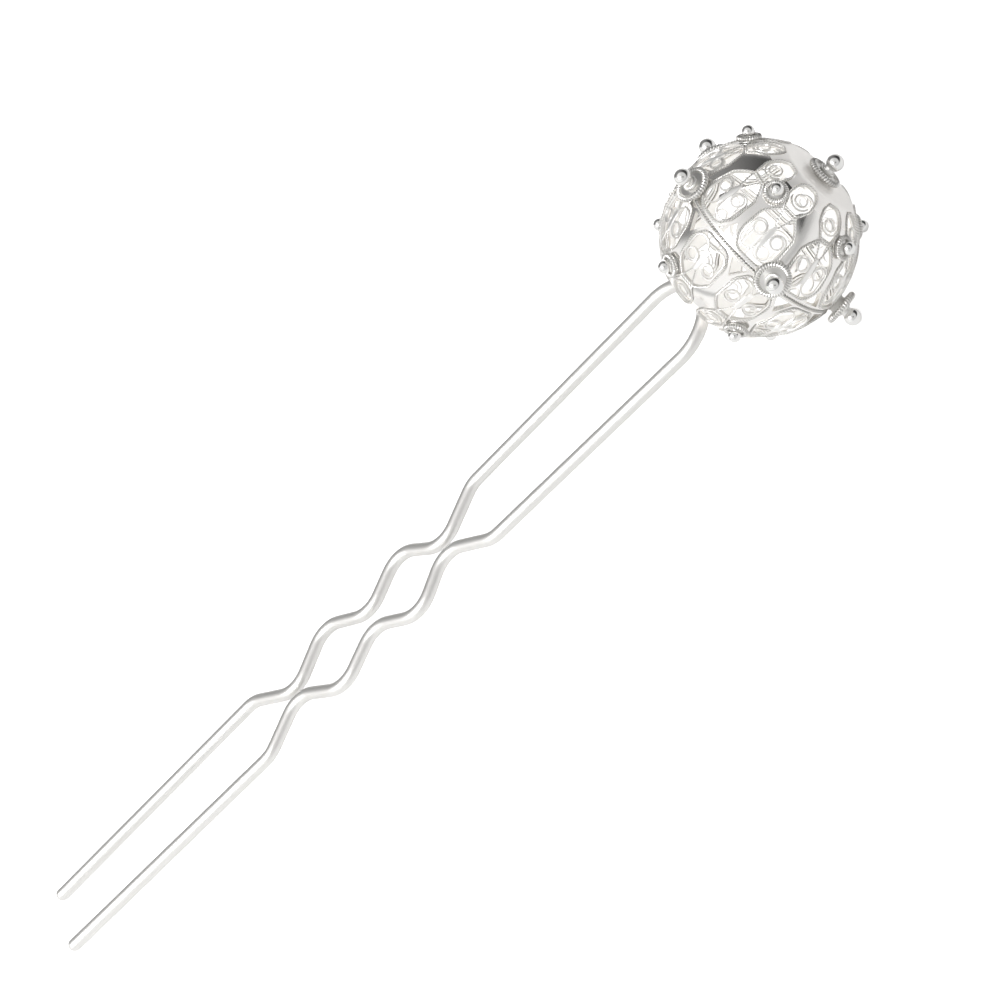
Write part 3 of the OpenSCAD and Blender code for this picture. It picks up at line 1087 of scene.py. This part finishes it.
@dataclass(frozen=True)
class Dome:
    """Pierced sheet dome of one half, with a flat pole and, below, the cup of the pin."""

    half: Half
    outline: FigureOutline = FigureOutline()
    triangle_base: float = 2.6
    triangle_apex: float = 12.6
    triangle_half_w: float = 6.2
    open_columns: int = 6
    strip_columns: int = 4
    triangle_columns: int = 4
    pole_r: float = 0.3
    cup_floor: float = 7.06
    satin_lat: float = 51.0

    def section(self) -> tuple[Array, Array, Array]:
        """Meridian of the sheet from the seam to its inner edge at the pole.

        The outer one follows the ball, turns over a small radius and runs in along the flat.
        The inner one lies a sheet's thickness behind it.

        Returns:
            Latitudes of the rows, which only grow past the corner, and outer and inner points
            as (x, r).
        """
        radius, flat, thick = SIZES.ball_r, SIZES.pole_flat, SIZES.sheet_t
        first = math.degrees(math.asin(SIZES.seam_half / radius))
        corner = math.degrees(math.asin(flat / radius))
        inner_r = SIZES.mouth_r if self.half is Half.LOWER else self.pole_r
        knots = [first, self.outline.petal[0][0], self.triangle_base, self.triangle_apex]
        knots += [self.outline.lobe[0][0], self.outline.lobe[-1][0]]
        counts = [2, 1, 16, 34, 32]
        lats = [np.linspace(a, b, n, endpoint=False) for a, b, n in zip(knots, knots[1:], counts)]
        lat = np.concatenate([*lats, [knots[-1]]])
        ball = radius * np.column_stack([np.sin(np.radians(lat)), np.cos(np.radians(lat))])
        inward = np.linspace(math.sqrt(radius**2 - flat**2) - 0.1, inner_r, 14)
        outer = np.vstack([ball, np.column_stack([np.full_like(inward, flat), inward])])
        lat = np.concatenate([lat, corner + np.arange(len(inward)) + 1.0])
        away = unit(np.gradient(outer, axis=0)[:, ::-1] * [-1.0, 1.0])
        return lat, outer, outer - thick * away

    def metal(self, lat: Array) -> Mask:
        """Which cells of the grid are metal: petals, lobes and seam triangles are cut out.

        Args:
            lat: Latitudes of the grid's rows.

        Returns:
            One row per row of cells, True for metal.
        """
        middle = (lat[:-1] + lat[1:]) / 2
        figure = (middle > self.outline.petal[0][0]) & (middle < self.outline.lobe[-1][0])
        triangle = (middle > self.triangle_base) & (middle < self.triangle_apex)
        first = self.open_columns + self.strip_columns
        last = first + self.triangle_columns
        present = np.ones((len(middle), SIZES.figure_count, last + self.strip_columns), bool)
        present[figure, :, : self.open_columns] = False
        pierced = np.zeros(SIZES.figure_count, bool)
        pierced[:: 1 if self.half is Half.LOWER else 2] = True
        present[..., first:last][triangle[:, None] & pierced] = False
        return present.reshape(len(middle), -1)

    def longitudes(self, lat: Array) -> Array:
        """Longitude of every grid point in degrees.

        Each figure's columns run across its opening, over the strip, across the triangle and
        over the next strip. Their borders follow the outline, so the cells follow it too.

        Args:
            lat: Latitudes of the grid's rows.

        Returns:
            One row of longitudes per latitude.
        """
        step = SIZES.figure_step
        half = self.outline.half_width(lat)
        share = (self.triangle_apex - lat) / (self.triangle_apex - self.triangle_base)
        wedge = np.clip(share, 0, 1) * self.triangle_half_w + 0.15
        strip = np.minimum((step / 2 - half) * 0.35, wedge + 1.5)
        wedge = np.where(lat > self.triangle_apex, strip, wedge)
        borders = [-half, half, step / 2 - wedge, step / 2 + wedge, step - half]
        counts = [self.open_columns, self.strip_columns, self.triangle_columns]
        columns = [
            low[:, None] + (high - low)[:, None] * np.linspace(0, 1, n, endpoint=False)
            for low, high, n in zip(borders, borders[1:], [*counts, self.strip_columns])
        ]
        starts = step * (np.arange(SIZES.figure_count) + 0.5)
        one = np.concatenate(columns, axis=1)[:, None, :]
        return (one + starts[:, None]).reshape(len(lat), -1)

    def skin(self, section: Array, lon: Array) -> Array:
        """Grid points (x, -r sin lon, r cos lon) of a meridian section turned about X.

        Args:
            section: Points (x, r).
            lon: A row of longitudes for each of them.

        Returns:
            The grid.
        """
        angle = np.radians(lon)
        x, r = np.broadcast_to(section[:, :1], lon.shape), section[:, 1:]
        return np.stack([x, -r * np.sin(angle), r * np.cos(angle)], axis=-1)

    def cup(self) -> Surface:
        """Cup behind the mouth: a round wall and a floor, turned about X.

        Returns:
            Its surface.
        """
        r, t, low = SIZES.mouth_r, SIZES.sheet_t, self.cup_floor
        high = SIZES.pole_flat - 0.02
        profile = [(0, low - t), (r + t - 0.1, low - t), (r + t, low - t + 0.1)]
        profile += [(r + t, high - 0.3), (r, high), (r, low + 0.25), (r - 0.25, low), (0, low)]
        return lathe(np.array(profile), 72).moved(turn_y(90))

    def make(self) -> None:
        """Builds the dome as one piece."""
        lat, outer, inner = self.section()
        lon = self.longitudes(lat)
        satin = int(np.searchsorted(lat, self.satin_lat))
        shape = walled(self.skin(outer, lon), self.skin(inner, lon), self.metal(lat), satin)
        if self.half is Half.LOWER:
            shape = joined([shape, self.cup().in_slot(INSIDE)])
        shape = shape.moved(turn_x(self.half.turn) @ self.half.mirror)
        finishes, node = [SHEET_FINISH, INNER_FROST_AND_PAINTED_GLOW, SATIN_AND_PAINTED_GLOW], f"{self.half.side}_dome"
        make_piece(f"{node}_sheet", shape, finishes, node)


@dataclass(frozen=True)
class SeamWire:
    """Twisted wire that covers the joint between the two domes."""

    reach: float = 8.9
    strand_r: float = 0.07
    pitch: float = 0.6

    def make(self) -> None:
        """Builds the rope about X."""
        count = int(2 * math.pi * self.reach / self.pitch * 10)
        ring = arc(0, 360, count, whole=True)
        normals = np.column_stack([np.zeros(count), -ring[:, 1], ring[:, 0]])
        shape = rope(Path(normals * self.reach, True), normals, self.strand_r, self.pitch, 8)
        finishes = [SEAM_FINISH, INNER_FROST_AND_PAINTED_GLOW]
        make_piece("seam_rope", shape.lined(), finishes, "seam_wire")


def make_beaded(node: str, shape: Surface) -> None:
    """Makes the piece of a rosette or a stud."""
    finishes = [BEAD_FINISH, COIL_FINISH]
    make_piece(f"{node}_bead_and_coil", shape, finishes, node)


@dataclass(frozen=True)
class Rosette:
    """Coiled ring on a foot, with a collar and a bead. It stands on +Z from the sheet at 0."""

    coil_h: float
    coil: CoilRing = CoilRing(1.8, 0.33, 0.085, 38)
    foot_r: float = 0.85
    neck_r: float = 0.5
    collar_r: float = 0.6
    collar_h: float = 0.3
    collar_strand_r: float = 0.09
    collar_turns: int = 14
    solder_r: float = 0.45

    def stem(self, root: float) -> Surface:
        """Foot, disc and neck as one turned piece, from below the sheet to inside the bead.

        Args:
            root: Height at which the foot starts.

        Returns:
            The stem, grooved on its disc.
        """
        h, foot, neck, disc = self.coil_h, self.foot_r, self.neck_r, self.coil.ring_r
        top = h + SIZES.bead_above_coil - 0.2
        profile = [(0, root), (foot, root), (foot + 0.08, 0.05), (foot, 0.16), (foot, h - 0.2)]
        profile += [(disc, h - 0.12), (disc, h + 0.1), (self.collar_r + 0.2, h + 0.14)]
        profile += [(neck + 0.08, h + 0.2), (neck, h + 0.34), (neck, top - 0.2), (0, top)]
        made = lathe(np.array(profile), 48)
        r = np.hypot(made.points[:, 0], made.points[:, 1])
        made.groove = np.where((r > neck + 0.05) & (made.points[:, 2] > 0.2), 0.45, 0.15)
        return made

    def build(self, root: float, phase: float) -> Surface:
        """The whole rosette.

        Args:
            root: Height at which the foot starts.
            phase: Turn of the windings, in degrees.

        Returns:
            Its surface, standing on +Z.
        """
        ring = np.column_stack([arc(0, 360, 140, whole=True), np.zeros(140)]) * self.collar_r
        pitch = 2 * math.pi * self.collar_r / self.collar_turns
        collar = rope(Path(ring, True), UP, self.collar_strand_r, pitch).raised(self.collar_h)
        coils = joined([self.coil.build(phase), collar]).raised(self.coil_h)
        height = self.coil_h + SIZES.bead_above_coil
        bead = round_bead(SIZES.bead_r, height, 33, 48, self.solder_r)
        return joined([joined([self.stem(root), coils]).in_slot(COILED_WIRE), bead])

    def make_equator(self) -> None:
        """Builds the equator rosettes, a little tilted from the seam towards the crown."""
        for i in range(SIZES.rosette_count):
            place = turn_x(i * SIZES.rosette_step) @ turn_y(SIZES.rosette_lat)
            shape = self.build(-0.02, 47.0 * i).raised(SIZES.ball_r).moved(place)
            make_beaded(f"equator_rosette_{i + 1}", shape)

    def make_crown(self) -> None:
        """Builds the rosette on the flat of the upper dome."""
        shape = self.build(0.0, 20.0).raised(SIZES.pole_flat).moved(turn_y(90))
        make_beaded("crown_rosette", shape)


@dataclass(frozen=True)
class Stud:
    """Small coiled ring on a disc, with a bead. It stands on +Z from the sheet at 0."""

    half: Half
    coil: CoilRing = CoilRing(1.21, 0.26, 0.07, 30)
    lat: float = 40.3
    ring_h: float = 0.36
    bead_r: float = 0.62
    bead_h: float = 0.88

    def build(self, phase: float) -> Surface:
        """The whole stud.

        Args:
            phase: Turn of the windings, in degrees.

        Returns:
            Its surface, standing on +Z.
        """
        r = self.coil.ring_r
        disc = [(0, 0.02), (r, -0.02), (r, 0.34), (0.55, 0.38), (0.42, 0.5), (0, 0.6)]
        plate = lathe(np.array(disc), 36)
        plate.groove[:] = 0.4
        dull = joined([plate, self.coil.build(phase).raised(self.ring_h)])
        return joined([dull.in_slot(COILED_WIRE), round_bead(self.bead_r, self.bead_h, 25, 36)])

    def make(self) -> None:
        """Builds the studs of one half."""
        for i in range(SIZES.rosette_count):
            around = turn_x((i + 0.5) * SIZES.rosette_step + self.half.turn)
            shape = self.build(31.0 * i).raised(SIZES.ball_r)
            shape = shape.moved(around @ self.half.mirror @ turn_y(self.lat))
            make_beaded(f"{self.half.side}_stud_{i + 1}", shape)


@dataclass(frozen=True)
class Pin:
    """One length of wire, bent in a U, with mirrored crimps and rounded tips."""

    corners: tuple[Pair, ...] = (
        (-SIZES.tip_reach + SIZES.wire_r, 3.5), (-69.9, 3.85), (-64.7, 0.2), (-59.2, 4.5),
        (-53.7, 0.82), (-48.3, 4.63), (-43.25, 0.2), (-37.9, 4.0),
    )
    crimp_r: float = 2.8
    arch_r: float = 4.45
    arch_reach: float = 12.2
    cap_end: float = 86.0
    sides: int = 28
    solder_half: Pair = (1.05, 0.34)
    solder_stretch: float = 1.5
    solder_back: float = 0.12

    def prong(self) -> Array:
        """Centre line of a prong in the pin's plane, from its tip to the start of the arch.

        Straights run between arcs of the crimp radius, each tangent to the straights on both
        sides of its corner. The last straight is tangent to the arch.

        Returns:
            Its points.
        """
        off = np.array(self.corners[-1]) + [self.arch_reach, 0.0]
        slope = math.asin(self.arch_r / np.hypot(*off)) - math.atan2(off[1], -off[0])
        start = self.arch_r * np.array([-math.sin(slope), math.cos(slope)])
        start[0] -= self.arch_reach
        knots = np.vstack([self.corners, start])
        path = [knots[:1]]
        for before, here, after in zip(knots[:-2], knots[1:-1], knots[2:]):
            into, out = unit(here - before), unit(after - here)
            turn = math.atan2(into[0] * out[1] - into[1] * out[0], float(into @ out))
            enter = here - self.crimp_r * math.tan(abs(turn) / 2) * into
            to_centre = math.copysign(self.crimp_r, turn) * np.array([-into[1], into[0]])
            angle = np.linspace(0, turn, 12)[:, None]
            c, s = np.cos(angle), np.sin(angle)
            x, y = -to_centre
            path.append(enter + to_centre + np.hstack([x * c - y * s, x * s + y * c]))
        return np.vstack([*path, start])

    def centre_line(self) -> Path:
        """The whole wire, from one tip through the arch to the other.

        Returns:
            The path, in mm.
        """
        prong = self.prong()
        first = math.degrees(math.atan2(prong[-1, 1], prong[-1, 0] + self.arch_reach))
        arch = self.arch_r * arc(first, -first, 60)[1:-1] - [self.arch_reach, 0.0]
        whole = np.vstack([prong, arch, prong[::-1] * [1.0, -1.0]])
        return Path(np.column_stack([whole, np.zeros(len(whole))])).resampled(0.3)

    def solder(self) -> Surface:
        """Low pool of solder that holds the arch in the cup: a flattened ball.

        Returns:
            Its surface.
        """
        made = lathe(arc(-90, 90, 17) * self.solder_half, 32)
        made.groove[:] = 0.2
        made = made.moved(np.diag([1.0, self.solder_stretch, 1.0]))
        x = self.arch_r + SIZES.wire_r - self.arch_reach - self.solder_back
        return made.raised(x).moved(turn_y(90))

    def make(self) -> None:
        """Builds the pin: a round profile along the centre line, with rounded tips."""
        path, radius = self.centre_line(), SIZES.wire_r
        line, ahead = path.points, path.tangents
        share = np.sin(np.radians(np.linspace(0, self.cap_end, 9)))[1:]
        tip = line[0] - ahead[0] * (radius * share)[::-1, None]
        tail = line[-1] + ahead[-1] * (radius * share)[:, None]
        cap = radius * np.sqrt(1 - share**2)
        scale = np.concatenate([cap[::-1], np.full(len(line), radius), cap])
        profile = oval(1.0, 1.0, self.sides) * scale[:, None, None]
        wire = carried(Path(np.vstack([tip, line, tail])), UP, profile)
        make_piece("pin_wire", joined([wire, self.solder()]), [WIRE_FINISH], "pin")


# ---------------------------------------------------------------- camera and studio


@dataclass(frozen=True)
class PhotoCamera:
    """Camera at the photograph's angle to the hairpin.

    The ball's axis points axis_angle up from the picture's right, and leans axis_lean towards
    the viewer. The first equator rosette lies at meridian_angle about it. Lengths are in pixels
    of a picture 1000 wide, and ball_px is the ball's radius.
    """

    axis_angle: float = 44.6
    axis_lean: float = 20.79
    meridian_angle: float = 141.03
    ball_px: float = 99.0
    ball_place: Pair = (259.07, 262.04)
    distance_px: float = 4200.0
    picture_px: float = 1000.0
    sensor: float = 36.0

    def axes(self) -> Array:
        """The camera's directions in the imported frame.

        Returns:
            Rows right, up and back.
        """
        turn, lean = math.radians(self.axis_angle), math.radians(self.axis_lean)
        flat = np.array([math.cos(turn), math.sin(turn), 0.0])
        along = flat * math.cos(lean) + UP * math.sin(lean)
        across = np.array([math.sin(turn), -math.cos(turn), 0.0])
        around = math.radians(self.meridian_angle)
        up = math.cos(around) * across + math.sin(around) * np.cross(across, along)
        ball_axes = np.array([along, np.cross(up, along), up])
        return SIZES.turn_down(ball_axes.T)

    def make(self) -> None:
        """Creates the camera and makes it the scene's."""
        axes = self.axes()
        scale = SIZES.ball_r / self.ball_px * MM
        offset = np.array([-self.ball_place[0], -self.ball_place[1], self.distance_px]) * scale
        data = bpy.data.cameras.new("photo_camera")
        data.sensor_width = self.sensor
        data.lens = self.distance_px / self.picture_px * self.sensor
        data.clip_start, data.clip_end = 0.01, 20.0
        camera = bpy.data.objects.new("photo_camera", data)
        matrix = np.eye(4)
        matrix[:3, :3] = axes.T
        matrix[:3, 3] = SIZES.lay_down(np.zeros(3)) + offset @ axes
        camera.matrix_world = Matrix(matrix.tolist())
        bpy.context.scene.collection.objects.link(camera)
        bpy.context.scene.camera = camera


@dataclass(frozen=True)
class TentPatch:
    """A round patch of the light tent.

    Attributes:
        towards: Its middle by the photo camera's right, up and back.
        inner: Angle from the middle, in degrees, inside which it has its full light.
        outer: Angle where it ends.
        light: Its radiance.
    """

    towards: Triple
    inner: float
    outer: float
    light: float


@dataclass(frozen=True)
class DarkArch:
    """A dark arch of the tent around the camera, laid out as a small bead mirrors it.

    A bead of radius 1 shows the direction (x, y, z), by the camera's right, up and back, at
    (x, y) / sqrt(2 + 2 z). There the arch is the upper part of a ring.

    Attributes:
        middle: The ring's centre in the bead.
        radius: The ring's radius.
        inner: Distance from the ring's line up to which it is fully dark.
        outer: Distance from it where the arch ends.
        foot: Height in the bead where the arch starts, and where it is whole.
        lights: Radiance at its left and at its right.
        span: Places across the bead between which the radiance changes.
    """

    middle: Pair = (-0.15, 0.0)
    radius: float = 0.68
    inner: float = 0.12
    outer: float = 0.21
    foot: Pair = (-0.11, 0.05)
    lights: Pair = (0.24, 0.06)
    span: Pair = (-0.45, 0.15)

    def over(self, tree: Tree, axes: Array, light: object) -> Socket:
        """Lays the arch over the tent's light.

        Args:
            tree: The world's nodes.
            axes: Rows are the camera's right, up and back directions.
            light: The light without the arch.

        Returns:
            The light with it.
        """
        right, up, back = (facing(tree, axis) for axis in axes)
        stretch = maths(tree, "SQRT", maths(tree, "MULTIPLY_ADD", back, 2.0, 2.001))
        x, y = (maths(tree, "DIVIDE", part, stretch) for part in (right, up))
        place = add_node(tree, "CombineXYZ", {"X": x, "Y": y})["Vector"]
        reach = vector_maths(tree, "DISTANCE", "Value", place, (*self.middle, 0.0))
        off = maths(tree, "ABSOLUTE", maths(tree, "SUBTRACT", reach, self.radius))
        band = smooth_step(tree, off, self.outer, self.inner)
        mask = maths(tree, "MULTIPLY", band, smooth_step(tree, y, *self.foot))
        tone = mixed(tree, smooth_step(tree, x, *self.span), *self.lights)
        return mixed(tree, mask, light, tone)


@dataclass(frozen=True)
class Studio:
    """Lit table under a soft light tent.

    The tent is fixed to the floor. Its patches are given by the photo camera's directions: wide
    soft ones at the left, behind and below, a bright window in front at the left, and a dim one
    around the camera. Each covers those before it, and the dark arch covers them all.
    """

    camera: PhotoCamera
    floor_half: float = 4.0
    table_middle: Pair = (0.004, 0.03)
    table_half: Pair = (0.085, 0.125)
    table_fade: float = 1.9
    table_colour: float = 0.9
    table_glow: float = 0.68
    # Painted shade and painted light that only reflections see: there the table is darker towards
    # the camera's right, and its emission is a fixed fill that lifts the ball's shadow.
    reflection_shade_tones: Pair = (0.6, 0.44)
    reflection_shade_span: Pair = (-0.02, 0.07)
    reflection_fill_glow: float = 0.34
    # Painted shade: the floor's grey away from the table, standing in for the falloff of its light.
    falloff_shade_colour: float = 0.42
    base_light: float = 0.66
    patches: tuple[TentPatch, ...] = (
        TentPatch((-0.95, -0.15, 0.1), 30, 80, 0.98),
        TentPatch((-0.7, 0.3, -0.65), 20, 50, 0.95),
        TentPatch((0.1, 0.72, -0.69), 22, 48, 1.0),
        TentPatch((-0.72, -0.18, 0.67), 11, 16, 14.0),
        TentPatch((-0.55, -0.78, 0.3), 15, 45, 1.0),
        TentPatch((0.0, 0.0, 1.0), 6, 12, 0.22),
    )
    arch: DarkArch = DarkArch()

    def room_mask(self, tree: Tree) -> Socket:
        """Mask that is 0 on the table and 1 in the room around it, where the painted shade of the
        falloff lies and the table's emission ends.

        It runs over the length of ((x - a) / p, (y - b) / q), for the table's middle (a, b)
        and half sizes p and q.

        Args:
            tree: The floor's nodes.

        Returns:
            The mask.
        """
        place = add_node(tree, "TexCoord")["Object"]
        scale = (1 / self.table_half[0], 1 / self.table_half[1], 0.0)
        place = vector_maths(tree, "SUBTRACT", "Vector", place, (*self.table_middle, 0.0))
        place = vector_maths(tree, "MULTIPLY", "Vector", place, scale)
        reach = vector_maths(tree, "LENGTH", "Value", place)
        return smooth_step(tree, reach, 1.0, self.table_fade)

    def painted_reflection_shade(self, tree: Tree) -> Socket:
        """Painted shade: the table's tone as the silver sees it, darker towards the camera's right.

        Args:
            tree: The floor's nodes.

        Returns:
            The tone.
        """
        right = unit(self.camera.axes()[0] * [1.0, 1.0, 0.0])
        share = smooth_step(tree, facing(tree, right, "Object"), *self.reflection_shade_span)
        return mixed(tree, share, *self.reflection_shade_tones)

    def make_floor(self) -> None:
        """Builds the floor: a white light table for the camera, and in reflections the same table
        with painted shade and a painted fill of light.

        Both fade to the room's painted grey around the table, a painted shade for the falloff of
        its light.
        """
        half = self.floor_half
        mesh = bpy.data.meshes.new("floor")
        corners = [(-half, -half, 0), (half, -half, 0), (half, half, 0), (-half, half, 0)]
        mesh.from_pydata(corners, [], [(0, 1, 2, 3)])
        made = bpy.data.materials.new("pale_floor")
        made.use_nodes = True
        tree = made.node_tree
        # The camera sees the white table; reflections see its painted shade and painted fill.
        seen = add_node(tree, "LightPath")["Is Camera Ray"]
        tone = mixed(tree, seen, self.painted_reflection_shade(tree), self.table_colour)
        glow = mixed(tree, seen, self.reflection_fill_glow, self.table_glow)
        room = self.room_mask(tree)
        look = {
            "Base Color": mixed(tree, room, tone, self.falloff_shade_colour),
            "Emission Color": mixed(tree, room, glow, 0.0),
            "Emission Strength": 1.0,
            "Roughness": 0.8,
            "Specular IOR Level": 0.1,
        }
        fill(tree.nodes["Principled BSDF"], look)
        mesh.materials.append(made)
        floor = bpy.data.objects.new("floor", mesh)
        bpy.context.scene.collection.objects.link(floor)

    def make_tent(self) -> None:
        """Builds the light tent as the world's light."""
        axes = self.camera.axes()
        world = bpy.data.worlds.new("light_tent")
        world.use_nodes = True
        tree = world.node_tree
        total = self.base_light
        for patch in self.patches:
            towards = facing(tree, unit(np.array(patch.towards)) @ axes)
            edge, full = (math.cos(math.radians(a)) for a in (patch.outer, patch.inner))
            total = mixed(tree, smooth_step(tree, towards, edge, full), total, patch.light)
        fill(tree.nodes["Background"], {"Color": self.arch.over(tree, axes, total)})
        bpy.context.scene.world = world

    def make(self) -> None:
        """Builds floor, tent and colour handling."""
        self.make_floor()
        self.make_tent()
        view = bpy.context.scene.view_settings
        view.view_transform, view.look = "Standard", "None"


def main() -> None:
    """Builds camera, studio and every piece, and reports each one."""
    logging.basicConfig(level=logging.INFO, format="%(message)s")
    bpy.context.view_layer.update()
    camera = PhotoCamera()
    camera.make()
    Studio(camera).make()
    Pin().make()
    for half in Half:
        Dome(half).make()
        Petals(half).make()
        Stud(half).make()
    SeamWire().make()
    Rosette(SIZES.equator_coil_h).make_equator()
    Rosette(SIZES.crown_coil_h).make_crown()


if __name__ == "__main__":
    main()
